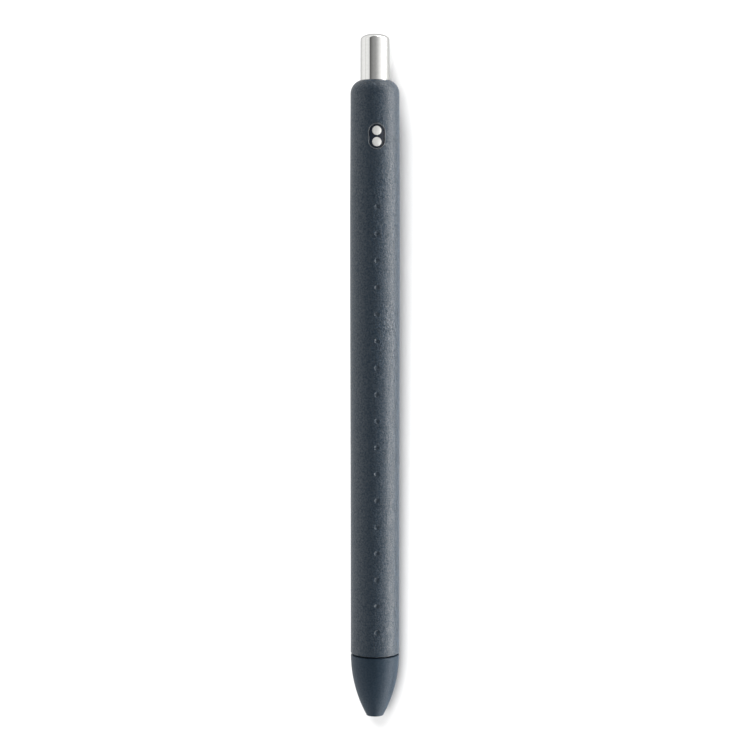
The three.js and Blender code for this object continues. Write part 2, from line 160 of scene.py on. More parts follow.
# The pen's frame in the row frame, from the joints.
joints = {joint["name"]: joint for joint in frame["joints"]}
RIGHT = Vector((1, 0, 0))
ALONG = -Vector(joints["button_press"]["axis"]).normalized()
UP = RIGHT.cross(ALONG)
NOSE_END = Vector(joints["ball_roll"]["pos_m"]) - ALONG * BALL_Y * MM
TILT = math.asin(ALONG.z)
PEN_AXES = Matrix((RIGHT, ALONG, UP)).transposed().to_4x4()
PEN = Matrix.Translation(NOSE_END) @ PEN_AXES @ Matrix.Scale(MM, 4)


def lerp(a, b, t):
    return a + (b - a) * t


def smoothstep(x, low, high):
    t = min(max((x - low) / (high - low), 0), 1)
    return t * t * (3 - 2 * t)


def spaced(low, high, step):
    """Evenly spaced values from low to high, about step apart."""
    count = max(1, round(abs(high - low) / step))
    return [lerp(low, high, i / count) for i in range(count + 1)]


def barrel_radius(y):
    swell = (BELLY_R - FRONT_R) * smoothstep(y, BELLY_START_Y, BELLY_FULL_Y)
    ease = (BELLY_R - BACK_R) * smoothstep(y, TAPER_START_Y, SHOULDER_Y)
    return FRONT_R + swell - ease


def rest_z(y):
    return -(FRONT_R + 0.005 + (y - SEAM) * math.tan(TILT))


# ---------------------------------------------------------------- mesh helpers

def skin(rings, loop=False):
    """Rings of points joined in order. A ring of one point is a pole; loop closes the rings."""
    mesh = bmesh.new()
    rows = [[mesh.verts.new(point) for point in ring] for ring in rings]
    pairs = list(zip(rows, rows[1:]))
    if loop:
        pairs.append((rows[-1], rows[0]))
    for low, high in pairs:
        count = max(len(low), len(high))
        for i in range(count):
            j = (i + 1) % count
            corners = (
                low[i % len(low)], low[j % len(low)], high[j % len(high)], high[i % len(high)]
            )
            corners = tuple(dict.fromkeys(corners))  # a pole's point is named once
            if len(corners) > 2:
                mesh.faces.new(corners)
    return mesh


def rounded(points, loop=False, step=math.radians(15)):
    """A profile of (radius, y) or (radius, y, corner) points, its corners turned into arcs."""
    out = []
    last = len(points) - 1
    for i, point in enumerate(points):
        here = Vector(point[:2])
        corner = point[2] if len(point) > 2 else 0
        if not corner or (not loop and i in (0, last)):
            out.append(tuple(here))
            continue
        back = (Vector(points[i - 1][:2]) - here).normalized()
        ahead = (Vector(points[(i + 1) % len(points)][:2]) - here).normalized()
        half = back.angle(ahead) / 2
        centre = here + (back + ahead).normalized() * corner / math.sin(half)
        start = here + back * corner / math.tan(half) - centre
        turn = start.angle_signed(here + ahead * corner / math.tan(half) - centre)
        steps = max(2, math.ceil(abs(turn) / step))
        for k in range(steps + 1):
            offset = start.copy()
            offset.rotate(Matrix.Rotation(-turn * k / steps, 2))
            out.append(tuple(centre + offset))
    return out


def arc(centre_r, centre_y, radius, start, end, step=math.radians(4)):
    """Points (radius, y) of an arc between two angles above the radius direction."""
    return [
        (centre_r + radius * math.cos(a), centre_y + radius * math.sin(a))
        for a in spaced(start, end, step)
    ]


def around(count):
    return [2 * math.pi * i / count for i in range(count)]


def turned(profile, angles, relief=None, loop=None):
    """A profile turned about the pen's axis. relief(angle, r, y) may move a point's radius."""
    rings = []
    for r, y in profile:
        if r < 1e-6:
            rings.append([(0, y, 0)])
            continue
        ring = []
        for angle in angles:
            reach = relief(angle, r, y) if relief else r
            ring.append((reach * math.sin(angle), y, reach * math.cos(angle)))
        rings.append(ring)
    if loop is None:
        loop = profile[0][0] > 1e-6
    return skin(rings, loop)


def finished(name, mesh, smooth_deg=40, weighted=True):
    """A bmesh in the pen's frame as an object in the row frame, smooth but for sharp edges."""
    mesh.transform(PEN)
    bmesh.ops.recalc_face_normals(mesh, faces=mesh.faces)
    data = bpy.data.meshes.new(name)
    mesh.to_mesh(data)
    mesh.free()
    data.polygons.foreach_set("use_smooth", [True] * len(data.polygons))
    data.set_sharp_from_angle(angle=math.radians(smooth_deg))
    piece = bpy.data.objects.new(name, data)
    bpy.context.scene.collection.objects.link(piece)
    if weighted:
        keep_flats_flat(piece)
    return piece


def keep_flats_flat(piece):
    normals = piece.modifiers.new("normals", "WEIGHTED_NORMAL")
    normals.keep_sharp = True
    apply_modifiers(piece)


def apply_modifiers(piece):
    graph = bpy.context.evaluated_depsgraph_get()
    data = bpy.data.meshes.new_from_object(piece.evaluated_get(graph))
    data.name = piece.name
    piece.modifiers.clear()
    piece.data = data


def combined(piece, tools, operation):
    """The piece after a boolean with each tool in turn. The tools are used up."""
    for tool in tools:
        change = piece.modifiers.new("boolean", "BOOLEAN")
        change.operation = operation
        change.solver = "EXACT"
        change.object = tool
        apply_modifiers(piece)
        bpy.data.objects.remove(tool)
    return piece


def outline_prism(outline, low, high, mapped):
    """A closed prism on a flat outline of (a, b) points. mapped(a, b, height) gives a point."""
    return skin_capped([[mapped(a, b, h) for a, b in outline] for h in (low, high)])


def skin_capped(rings, loop=False):
    """Rings joined in order, with the first and last ring filled by one flat face each."""
    mesh = skin(rings, loop)
    mesh.verts.ensure_lookup_table()
    count = len(rings[0])
    mesh.faces.new([mesh.verts[i] for i in range(count)][::-1])
    total = len(mesh.verts)
    mesh.faces.new([mesh.verts[i] for i in range(total - count, total)])
    return mesh


def stadium(width, length, step=math.radians(6)):
    """A slot-shaped outline of (x, y) points round the origin, anticlockwise."""
    r = width / 2
    reach = (length - width) / 2
    top = [(r * math.cos(a), reach + r * math.sin(a)) for a in spaced(0, math.pi, step)]
    return top + [(-x, -y) for x, y in top]


def rounded_rectangle(width, length, corner, step=math.radians(15)):
    points = []
    for k, (sx, sy) in enumerate(((1, 1), (-1, 1), (-1, -1), (1, -1))):
        for a in spaced(k * math.pi / 2, (k + 1) * math.pi / 2, step):
            x = sx * (width / 2 - corner) + corner * math.cos(a)
            y = sy * (length / 2 - corner) + corner * math.sin(a)
            points.append((x, y))
    return points


def stands_for(piece, node, body, material):
    piece.data.materials.clear()
    piece.data.materials.append(material)
    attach(piece, body)
    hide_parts(node)
    return piece


# ---------------------------------------------------------------- materials

def new_material(name, roughness, metallic=0.0):
    material = bpy.data.materials.new(name)
    material.use_nodes = True
    shader = material.node_tree.nodes["Principled BSDF"]
    shader.inputs["Roughness"].default_value = roughness
    shader.inputs["Metallic"].default_value = metallic
    return material, shader


def place_noise(material, scale, detail=2.0, stretch=(1, 1, 1)):
    """A noise in the object's own coordinates. scale is how many grains fit in a millimetre."""
    nodes, links = material.node_tree.nodes, material.node_tree.links
    where = nodes.new("ShaderNodeTexCoord")
    mapping = nodes.new("ShaderNodeMapping")
    mapping.inputs["Scale"].default_value = stretch
    noise = nodes.new("ShaderNodeTexNoise")
    noise.inputs["Scale"].default_value = scale / MM
    noise.inputs["Detail"].default_value = detail
    links.new(where.outputs["Object"], mapping.inputs["Vector"])
    links.new(mapping.outputs["Vector"], noise.inputs["Vector"])
    return noise.outputs["Fac"]


def vary_colour(material, shader, source, low, high, spread=(0.3, 0.7)):
    """Base colour between two colours, by a noise."""
    nodes, links = material.node_tree.nodes, material.node_tree.links
    ramp = nodes.new("ShaderNodeValToRGB")
    ramp.color_ramp.elements[0].position = spread[0]
    ramp.color_ramp.elements[0].color = (*low, 1)
    ramp.color_ramp.elements[1].position = spread[1]
    ramp.color_ramp.elements[1].color = (*high, 1)
    links.new(source, ramp.inputs["Fac"])
    links.new(ramp.outputs["Color"], shader.inputs["Base Color"])


def vary(material, shader, socket, source, low, high):
    """A value of the shader between two numbers, by a noise."""
    nodes, links = material.node_tree.nodes, material.node_tree.links
    spread = nodes.new("ShaderNodeMapRange")
    spread.inputs["From Min"].default_value = 0.3
    spread.inputs["From Max"].default_value = 0.7
    spread.inputs["To Min"].default_value = low
    spread.inputs["To Max"].default_value = high
    links.new(source, spread.inputs["Value"])
    links.new(spread.outputs["Result"], shader.inputs[socket])


def raise_grain(material, shader, source, depth):
    """Bump from a noise, depth in millimetres."""
    nodes, links = material.node_tree.nodes, material.node_tree.links
    bump = nodes.new("ShaderNodeBump")
    bump.inputs["Distance"].default_value = depth * MM
    bump.inputs["Strength"].default_value = 1.0
    links.new(source, bump.inputs["Height"])
    links.new(bump.outputs["Normal"], shader.inputs["Normal"])


def shade(colour, factor):
    return tuple(channel * factor for channel in colour)


def moulded(name, colour, roughness, grain=0.004, mottle=0.12, metallic=0.0):
    """Moulded plastic: a slight mottle, uneven gloss and a fine skin."""
    material, shader = new_material(name, roughness, metallic)
    clouds = place_noise(material, 0.35)
    vary_colour(material, shader, clouds, shade(colour, 1 - mottle), shade(colour, 1 + mottle))
    vary(material, shader, "Roughness", clouds, roughness - 0.05, roughness + 0.05)
    raise_grain(material, shader, place_noise(material, 5), grain)
    return material


def soft_touch(name, colour, roughness, gloss, speckled, grain):
    """A matt elastomer skin with a fine grain and a speckled, warm sheen."""
    material, shader = new_material(name, roughness)
    shader.inputs["Specular Tint"].default_value = (1, 0.93, 0.83, 1)
    speckle = place_noise(material, 2.8, detail=1)
    vary_colour(material, shader, speckle, shade(colour, 0.96), shade(colour, 1.04))
    low, high = gloss * (1 - speckled), gloss * (1 + speckled)
    vary(material, shader, "Specular IOR Level", speckle, low, high)
    raise_grain(material, shader, place_noise(material, 3.6), grain)
    return material


def metal(name, colour, roughness, stretch=(1, 1, 1), scale=2, grain=0.0008, spread=0.04, edge=1.0):
    """Metal with faint marks, drawn out along an axis where stretch says so."""
    material, shader = new_material(name, roughness, metallic=1.0)
    shader.inputs["Specular Tint"].default_value = (edge, edge, edge, 1)
    marks = place_noise(material, scale, detail=3, stretch=stretch)
    vary_colour(material, shader, marks, shade(colour, 0.97), shade(colour, 1.03))
    vary(material, shader, "Roughness", marks, roughness - spread / 2, roughness + spread / 2)
    raise_grain(material, shader, marks, grain)
    return material


def translucent(name, colour, roughness):
    material, shader = new_material(name, roughness)
    clouds = place_noise(material, 0.5)
    vary_colour(material, shader, clouds, shade(colour, 0.95), shade(colour, 1.0))
    raise_grain(material, shader, clouds, 0.004)
    shader.inputs["Transmission Weight"].default_value = 0.85
    shader.inputs["IOR"].default_value = 1.5
    return material


SLATE = (0.017, 0.037, 0.061)
BLACK = (0.008, 0.009, 0.011)

MATERIALS = {
    "soft_touch": soft_touch("soft_touch_skin", SLATE, 0.48, gloss=0.5, speckled=0.42, grain=0.09),
    "nose_plastic": soft_touch("nose_skin", SLATE, 0.54, gloss=0.27, speckled=0.25, grain=0.05),
    "dark_plastic": moulded("dark_plastic", BLACK, 0.45),
    "natural_plastic": moulded("natural_acetal", (0.62, 0.64, 0.64), 0.4),
    "rotor_plastic": moulded("grey_acetal", (0.32, 0.36, 0.4), 0.4),
    "badge_rim": moulded("badge_rim_plastic", (0.12, 0.14, 0.16), 0.3, grain=0.001),
    "badge_gloss": moulded("badge_gloss", (0.001, 0.012, 0.032), 0.1, grain=0.0005),
    "badge_pearl": moulded(
        "badge_pearl", (0.8, 0.8, 0.78), 0.5, grain=0.001, mottle=0.03, metallic=0.5
    ),
    "chrome": metal("chrome_plate", (0.62, 0.62, 0.605), 0.06, grain=0.0002, edge=0.42),
    "clear_plastic": translucent("refill_plastic", (0.85, 0.88, 0.88), 0.15),
    "gel_ink": moulded("gel_ink", (0.005, 0.005, 0.007), 0.15, grain=0.001),
    "follower_grease": translucent("follower_grease", (0.75, 0.68, 0.4), 0.2),
    "tip_metal": metal(
        "nickel_silver", (0.62, 0.6, 0.56), 0.22, stretch=(1, 0.08, 1), scale=6, spread=0.1
    ),
    "ball_metal": metal("ball_metal", (0.55, 0.55, 0.57), 0.15),
    "spring_steel": metal("spring_steel", (0.55, 0.55, 0.57), 0.25, scale=5, spread=0.1),
}


# ---------------------------------------------------------------- barrel

def pit_depth(angle, r, y):
    """How far the skin is sunk at a point: zero but in the pits on the badge side."""
    across = r * math.atan2(math.sin(angle), math.cos(angle))
    index = min(max(round((y - PIT_FIRST_Y) / PIT_PITCH), 0), PIT_COUNT - 1)
    away = math.hypot(across, y - (PIT_FIRST_Y + index * PIT_PITCH))
    if away > PIT_RIM_R + PIT_LIP:
        return 0
    ball = math.sqrt(PIT_R**2 - away**2) - (PIT_R - PIT_DEPTH)
    return smooth_above_zero(ball, PIT_LIP / 2)


def smooth_above_zero(value, reach):
    """value where it is well above zero, and zero well below it, with a smooth turn between."""
    if value >= reach:
        return value
    return max(value + reach, 0) ** 2 / (4 * reach)


def sleeve_angles():
    fine = [math.radians(0.75) * k for k in range(-10, 11)]
    middle = spaced(math.radians(9), math.radians(26), math.radians(1.7))
    coarse = spaced(math.radians(29.5), math.radians(330.5), math.radians(3.5))
    return fine + middle + coarse + [2 * math.pi - a for a in reversed(middle)]


def sleeve_rows(bottom):
    rows = spaced(bottom, PIT_FIRST_Y - 1.6, 1.2)
    for i in range(PIT_COUNT):
        middle = PIT_FIRST_Y + i * PIT_PITCH
        rows += [middle - 1.1]
        rows += spaced(middle - 0.77, middle + 0.77, 0.07)
        rows += [middle + 1.1, middle + 1.8]
    rows += spaced(PIT_LAST_Y + 2.4, BADGE_Y - 3.6, 1.5)
    rows += spaced(BADGE_Y - 3.2, BADGE_Y + 3.2, 0.4)
    rows += spaced(BADGE_Y + 3.8, SHOULDER_Y - 0.8, 1.0)
    return rows


def shoulder(depth, hole):
    centre_r = BACK_R - SHOULDER_R
    radius = SHOULDER_R - depth
    return arc(centre_r, SHOULDER_Y, radius, 0, math.acos((hole - centre_r) / radius))


def barrel_sleeve():
    bottom = SEAM + SEAM_GAP
    lip = 0.24
    inner = BACK_R - SLEEVE_WALL
    edge = barrel_radius(bottom) - lip
    front = [(inner, bottom)] + arc(edge, bottom + lip, lip, -math.pi / 2, 0, math.radians(15))
    rows = [(barrel_radius(y), y) for y in sleeve_rows(bottom + 0.5)]
    rim = 0.22
    outside = shoulder(0, BUTTON_HOLE_R + rim)
    inside = shoulder(SLEEVE_WALL, BUTTON_HOLE_R)
    top = outside[-1]
    hole = rounded([top, (BUTTON_HOLE_R, top[1] + 0.04, rim * 0.8), inside[-1]])[1:-1]
    profile = front + rows + outside + hole + inside[::-1] + [(inner, 90), (inner, 50)]

    def relief(angle, r, y):
        on_skin = r > inner + 0.1
        if on_skin and PIT_FIRST_Y - 1 < y < PIT_LAST_Y + 1:
            return r - pit_depth(angle, r, y)
        return r

    skin_mesh = turned(profile, sleeve_angles(), relief, loop=True)
    sleeve = finished("sleeve_skin", skin_mesh, weighted=False)

    def above(x, y, z):
        return (x, BADGE_Y + y, z)

    def below(x, y, z):
        return (x, ANCHOR_Y + y, z)

    badge = outline_prism(stadium(BADGE_WIDTH + 0.04, BADGE_LENGTH + 0.04), 3, 7, above)
    opening = rounded_rectangle(ANCHOR_WIDTH + 0.24, ANCHOR_LENGTH + 0.24, 0.8)
    window = outline_prism(opening, -7, -3, below)
    tools = [
        finished("badge_cut", badge, weighted=False),
        finished("anchor_cut", window, weighted=False),
    ]
    combined(sleeve, tools, "DIFFERENCE")
    sleeve.data.set_sharp_from_angle(angle=math.radians(35))
    return sleeve


def thread_offset(angle, y):
    """Distance along y from a point to the thread's middle line, and that line's own y there."""
    shift = y - PITCH * angle / (2 * math.pi)
    offset = (shift + PITCH / 2) % PITCH - PITCH / 2
    return offset, y - offset


def barrel_tube():
    low, high = SPIGOT_Y + 0.6, SEAM - 0.3

    def relief(angle, r, y):
        if abs(r - SPIGOT_R) > 1e-6 or not SPIGOT_Y + 0.2 < y < SEAM:
            return r
        offset, middle = thread_offset(angle, y)
        fade = smoothstep(middle, low - 0.2, low + 0.2)
        fade *= smoothstep(-middle, -high - 0.2, -high + 0.2)
        if abs(offset) >= THREAD_R:
            return r
        return r + math.sqrt(THREAD_R**2 - offset**2) * fade

    depth = BACK_R - TUBE_R
    profile = rounded([
        (SPIGOT_BORE_R, SPIGOT_Y, 0.1),
        (SPIGOT_R, SPIGOT_Y, 0.2),
        *[(SPIGOT_R, y) for y in spaced(SPIGOT_Y + 0.25, SEAM - 0.02, 0.06)],
        (SPIGOT_R, SEAM + 0.05),
        (TUBE_R, SEAM + 0.05, 0.1),
        *shoulder(depth, CAM_BORE_R),
        (CAM_BORE_R, CAM_BORE_Y, 0.05),
        (BORE_R, CAM_BORE_Y, 0.1),
        (BORE_R, SEAM + 1.6),
        (SPIGOT_BORE_R, SEAM + 1),
    ], loop=True)
    return finished("tube_body", turned(profile, around(120), relief))


def end_bushing():
    outer = CAM_BORE_R - 0.05
    return finished("bushing_ring", turned(rounded([
        (BUTTON_HOLE_R, BUSHING_FRONT_Y, 0.08),
        (outer, BUSHING_FRONT_Y, 0.08),
        (outer, BUSHING_BACK_Y, 0.12),
        (BUTTON_HOLE_R, BUSHING_BACK_Y, 0.12),
    ], loop=True), around(96)))


def on_barrel(x, y, r):
    """A point at some radius from the pen's axis, over (x, y) on the badge side."""
    return (x, y, math.sqrt(r * r - x * x))


def raised_pad(name, width, length, low, high, edge, middle_y):
    """A slot-shaped pad between two radii, with a rounded edge."""
    heights = [(0, low)] + [
        (edge * (1 - math.cos(a)), high - edge * (1 - math.sin(a)))
        for a in spaced(0, math.pi / 2, math.radians(18))
    ]
    inner = (width / 2 - edge) * 0.98
    heights += [(edge + inner * k / 5, high) for k in range(1, 6)]
    rings = []
    for inset, height in heights:
        outline = stadium(width - 2 * inset, length - 2 * inset)
        rings.append([on_barrel(x, middle_y + y, height) for x, y in outline])
    return finished(name, skin_capped(rings))


def badge_rim():
    """A thin raised bezel, its top rolled over."""
    low = BADGE_BED_R
    high = barrel_radius(BADGE_Y) + 0.06
    roll = BADGE_RIM / 2
    section = [(0, low)]
    section += [
        (roll * (1 - math.cos(a)), high - roll * (1 - math.sin(a)))
        for a in spaced(0, math.pi, 0.3)
    ]
    section += [(BADGE_RIM, low)]
    rings = []
    for inset, height in section:
        outline = stadium(BADGE_WIDTH - 2 * inset, BADGE_LENGTH - 2 * inset)
        rings.append([on_barrel(x, BADGE_Y + y, height) for x, y in outline])
    return finished("badge_bezel", skin(rings, loop=True))


def badge_plate():
    inset = 2 * (BADGE_RIM + 0.03)
    width, length = BADGE_WIDTH - inset, BADGE_LENGTH - inset
    return raised_pad("badge_face", width, length, BADGE_BED_R, BADGE_FACE_R, 0.08, BADGE_Y)


def badge_dot(name, y):
    return raised_pad(name, 2 * DOT_R, 2 * DOT_R, BADGE_FACE_R + 0.02, BADGE_FACE_R + 0.12, 0.05, y)


def clip_anchor():
    """The block that holds the clip: a rounded prism with a pocket, fitted to the tube."""
    edge = 0.35
    top = -3.0
    levels = [
        (edge * (1 - math.sin(a)), ANCHOR_BOTTOM_Z + edge * (1 - math.cos(a)))
        for a in spaced(0, math.pi / 2, math.radians(15))
    ]
    rings = []
    for inset, z in levels + [(0, top)]:
        outline = rounded_rectangle(ANCHOR_WIDTH - 2 * inset, ANCHOR_LENGTH - 2 * inset, 0.8 - inset * 0.9)
        rings.append([(x, ANCHOR_Y + y, z) for x, y in outline])
    block = finished("anchor_block", skin_capped(rings), weighted=False)
    clear_of_tube = TUBE_R + 0.08
    core = [(0, 120), (clear_of_tube, 120), (clear_of_tube, 135), (0, 135)]
    tube = finished("tube_cut", turned(core, around(96)), weighted=False)
    half = CLIP_ROOT_WIDTH / 2 + 0.12
    front = CLIP_LEG_Y - CLIP_STEEL / 2 - 0.4
    back = CLIP_LEG_Y + CLIP_STEEL / 2 + 0.15
    corners = [(-half, front), (half, front), (half, back), (-half, back)]
    pocket = outline_prism(corners, -8, -3, lambda x, y, z: (x, y, z))
    tools = [tube, finished("pocket_cut", pocket, weighted=False)]
    combined(block, tools, "DIFFERENCE")
    block.data.set_sharp_from_angle(angle=math.radians(30))
    keep_flats_flat(block)
    return block


# ---------------------------------------------------------------- clip

def clip_middle_line():
    """(y, z) points down the middle of the steel, from the leg to the tip."""
    def middle(y):
        return rest_z(y) + CLIP_STEEL / 2

    bend_y = CLIP_LEG_Y - CLIP_BEND_R
    bend_z = middle(bend_y)
    touch_z = -(BELLY_R + 0.05 + CLIP_STEEL / 2)
    points = [(CLIP_LEG_Y, z) for z in spaced(-4.8, bend_z + CLIP_BEND_R, 0.4)]
    leg_end = (CLIP_LEG_Y, bend_z + CLIP_BEND_R)
    points += bezier(leg_end, (CLIP_LEG_Y, bend_z), (bend_y, bend_z), count=10)
    points += [(y, middle(y)) for y in spaced(bend_y, CLIP_FLAT_END_Y, 1.0)][1:]
    flat_end = (CLIP_FLAT_END_Y, middle(CLIP_FLAT_END_Y))
    points += bezier(
        flat_end,
        (CLIP_FLAT_END_Y - 3, middle(CLIP_FLAT_END_Y - 3)),
        (CLIP_TOUCH_Y + 2.5, touch_z),
        (CLIP_TOUCH_Y, touch_z),
        count=24,
    )
    tip = (CLIP_TIP_Y, touch_z - 1.1)
    points += bezier((CLIP_TOUCH_Y, touch_z), (CLIP_TOUCH_Y - 2, touch_z), tip, count=20)
    return points


def bezier(*controls, count):
    """Points of a Bezier curve after its first, by de Casteljau's steps."""
    points = []
    for i in range(1, count + 1):
        t = i / count
        level = [Vector(c) for c in controls]
        while len(level) > 1:
            level = [a.lerp(b, t) for a, b in zip(level, level[1:])]
        points.append(tuple(level[0]))
    return points


def clip_half_width(y):
    root, tip = CLIP_ROOT_WIDTH / 2, CLIP_TIP_WIDTH / 2
    if y > CLIP_WIDE_Y:
        return root
    half = lerp(tip, root, (y - CLIP_TIP_Y - tip) / (CLIP_WIDE_Y - CLIP_TIP_Y - tip))
    short = CLIP_TIP_Y + tip - y
    if short > 0:
        half = math.sqrt(max(tip * tip - short * short, 0.0004))
    return half


def clip():
    line = clip_middle_line()
    rings = []
    edge = 0.14
    for i, (y, z) in enumerate(line):
        before = Vector(line[max(i - 1, 0)])
        after = Vector(line[min(i + 1, len(line) - 1)])
        along = (after - before).normalized()
        across = Vector((-along.y, along.x))
        half = max(clip_half_width(y), edge * 1.02)
        section = rounded_rectangle(2 * half, CLIP_STEEL, edge)
        ring = []
        for x, h in section:
            ring.append((x, y + across.x * h, z + across.y * h))
        rings.append(ring)
    return finished("clip_strip", skin_capped(rings), smooth_deg=50)


# ---------------------------------------------------------------- button and cam

def push_button():
    inner = BUTTON_R - BUTTON_WALL
    edge = LENGTH - BUTTON_DOME
    dome = [
        (BUTTON_R * math.cos(a), edge + BUTTON_DOME * math.sin(a))
        for a in spaced(0, math.pi / 2, math.radians(4))
    ]
    dome[-1] = (0, LENGTH)
    profile = rounded([
        (0, edge - 0.8),
        (inner, edge - 0.8, 0.2),
        (inner, BUTTON_FLANGE_Y, 0.08),
        (BUTTON_FLANGE_R, BUTTON_FLANGE_Y, 0.15),
        (BUTTON_FLANGE_R, 130, 0.15),
        (BUTTON_R, 130.2, 0.1),
        *[(BUTTON_R, y) for y in spaced(131, edge - 0.4, 2)],
        *dome,
    ])
    return finished("button_cap", turned(profile, around(128)), weighted=False)


# ---------------------------------------------------------------- refill

def tip_cone():
    socket = BALL_R + 0.025
    channel = 0.2
    lip_y = BALL_Y - 0.12
    seat = arc(0, BALL_Y, socket, math.acos(channel / socket), -math.asin(0.12 / socket), math.radians(10))
    profile = rounded([
        (0.42, lip_y + 0.02, 0.02),
        (TIP_R, 5, 0.3),
        (TIP_R, TIP_BACK_Y, 0.08),
        (0.95, TIP_BACK_Y),
        (0.95, 11.3, 0.1),
        (0.5, 11.3),
        (0.5, 6),
        (channel, 5.6),
        *seat,
    ], loop=True)
    return finished("tip_body", turned(profile, around(64)))


def writing_ball():
    profile = arc(0, BALL_Y, BALL_R, -math.pi / 2, math.pi / 2, math.radians(6))
    profile[0] = (0, BALL_Y - BALL_R)
    profile[-1] = (0, BALL_Y + BALL_R)
    return finished("ball_bead", turned(profile, around(48), loop=False), weighted=False)


def tip_holder():
    front = TIP_BACK_Y + 0.1
    collar = REFILL_R - 0.05
    profile = rounded([
        (1, front, 0.05),
        (NECK_R, front, 0.25),
        (NECK_R, HOLDER_FLANGE_Y, 0.15),
        (collar, HOLDER_FLANGE_Y, 0.15),
        (collar, COLLAR_Y, 0.1),
        (PLUG_R, COLLAR_Y),
        (PLUG_R, HOLDER_BACK_Y, 0.2),
        (HOLDER_BORE_R, HOLDER_BACK_Y, 0.1),
        (HOLDER_BORE_R, 11.6),
        (1, 11.4),
    ], loop=True)
    return finished("holder_body", turned(profile, around(72)))


def refill_tube():
    profile = rounded([
        (REFILL_BORE_R, REFILL_FRONT_Y, 0.1),
        (REFILL_R, REFILL_FRONT_Y, 0.15),
        *[(REFILL_R, y) for y in spaced(REFILL_FRONT_Y + 4, REFILL_BACK_Y - 4, 20)],
        (REFILL_R, REFILL_BACK_Y, 0.15),
        (REFILL_BORE_R, REFILL_BACK_Y, 0.1),
    ], loop=True)
    return finished("refill_wall", turned(profile, around(72)))


def rod(name, radius, bottom, top, corner, dish=0.0):
    """A filled cylinder with rounded ends; dish sinks its top like a meniscus."""
    profile = rounded([(0, bottom), (radius, bottom, corner), (radius, top, corner * 0.3), (0, top - dish)])
    return finished(name, turned(profile, around(64)))


def tail_plug():
    flange = REFILL_BACK_Y + 0.1
    profile = rounded([
        (VENT_R, TAIL_FRONT_Y, 0.1),
        (PLUG_R, TAIL_FRONT_Y, 0.3),
        (PLUG_R, flange),
        (REFILL_R, flange, 0.12),
        (REFILL_R, TAIL_BACK_Y, 0.2),
        (AXLE_R, TAIL_BACK_Y, 0.1),
        (AXLE_R, AXLE_END_Y, 0.25),
        (VENT_R, AXLE_END_Y, 0.1),
    ], loop=True)
    return finished("tail_body", turned(profile, around(72)))


# ---------------------------------------------------------------- spring and nose

STEPS_A_TURN = 36


def return_spring():
    """The wire as a helix, its first and last turn closed up."""
    bottom = SPRING_FRONT_Y + SPRING_WIRE_R
    height = SPRING_BACK_Y - SPRING_FRONT_Y - 2 * SPRING_WIRE_R
    dead = 2.1 * SPRING_WIRE_R / height

    def rise(turns):
        if turns < 1:
            return dead * turns
        if turns > SPRING_TURNS - 1:
            return 1 - dead * (SPRING_TURNS - turns)
        return lerp(dead, 1 - dead, (turns - 1) / (SPRING_TURNS - 2))

    steps = STEPS_A_TURN * SPRING_TURNS
    line = []
    for i in range(steps + 1):
        turns = i / STEPS_A_TURN
        angle = 2 * math.pi * turns
        y = bottom + height * rise(turns)
        line.append(Vector((SPRING_R * math.sin(angle), y, SPRING_R * math.cos(angle))))
    rings = []
    for i, point in enumerate(line):
        along = (line[min(i + 1, steps)] - line[max(i - 1, 0)]).normalized()
        outward = Vector((point.x, 0, point.z)).normalized()
        side = along.cross(outward)
        ring = []
        for a in around(12):
            ring.append(point + SPRING_WIRE_R * (outward * math.cos(a) + side * math.sin(a)))
        rings.append(ring)
    return finished("spring_wire", skin_capped(rings), weighted=False)


def nose_cone():
    bore = SPIGOT_R + 0.1
    spring_r = SPRING_R + SPRING_WIRE_R + 0.3
    edge = 0.24
    first = math.asin((SEAM - 0.14) / OGIVE_R)
    ogive = arc(NOSE_R - OGIVE_R, SEAM, OGIVE_R, -first, -edge / OGIVE_R, math.radians(0.8))
    thread_rows = spaced(SEAM - 0.1, SPIGOT_Y + 0.1, 0.08)

    def relief(angle, r, y):
        if abs(r - bore) > 1e-6 or not SPIGOT_Y < y < SEAM:
            return r
        offset, middle = thread_offset(angle, y)
        groove = THREAD_R + THREAD_GAP
        if abs(offset) >= groove:
            return r
        deep = math.sqrt(groove**2 - offset**2) - (bore - SPIGOT_R)
        return r + max(deep, 0) * smoothstep(middle, SPIGOT_Y + 0.2, SPIGOT_Y + 0.6)

    profile = rounded([
        (NOSE_HOLE_R, 0, 0.05),
        (ogive[0][0] - 0.02, 0, 0.1),
        *ogive,
        (NOSE_R, SEAM, 0.22),
        (bore, SEAM),
        *[(bore, y) for y in thread_rows],
        (bore, SPIGOT_Y - 0.2),
        (spring_r, SPIGOT_Y - 0.5),
        (spring_r, SPRING_SEAT_Y),
        (1.75, SPRING_SEAT_Y, 0.1),
        (1.75, 2.6),
        (NOSE_HOLE_R, 1.9, 0.1),
    ], loop=True)
    return finished("nose_shell", turned(profile, around(144), relief), weighted=False)


# ---------------------------------------------------------------- assembly

stands_for(barrel_sleeve(), "barrel_sleeve", "barrel", MATERIALS["soft_touch"])
stands_for(barrel_tube(), "barrel_tube", "barrel", MATERIALS["dark_plastic"])
stands_for(end_bushing(), "end_bushing", "barrel", MATERIALS["dark_plastic"])
stands_for(badge_rim(), "badge_rim", "barrel", MATERIALS["badge_rim"])
stands_for(badge_plate(), "badge_plate", "barrel", MATERIALS["badge_gloss"])
dots = {"badge_dot_front": BADGE_Y - DOT_SPACING / 2, "badge_dot_back": BADGE_Y + DOT_SPACING / 2}
for node, y in dots.items():
    stands_for(badge_dot(node + "_pad", y), node, "barrel", MATERIALS["badge_pearl"])
stands_for(clip_anchor(), "clip_anchor", "barrel", MATERIALS["dark_plastic"])
stands_for(clip(), "clip", "clip", MATERIALS["chrome"])
stands_for(push_button(), "push_button", "button", MATERIALS["chrome"])
stands_for(refill_tube(), "refill_tube", "refill", MATERIALS["clear_plastic"])
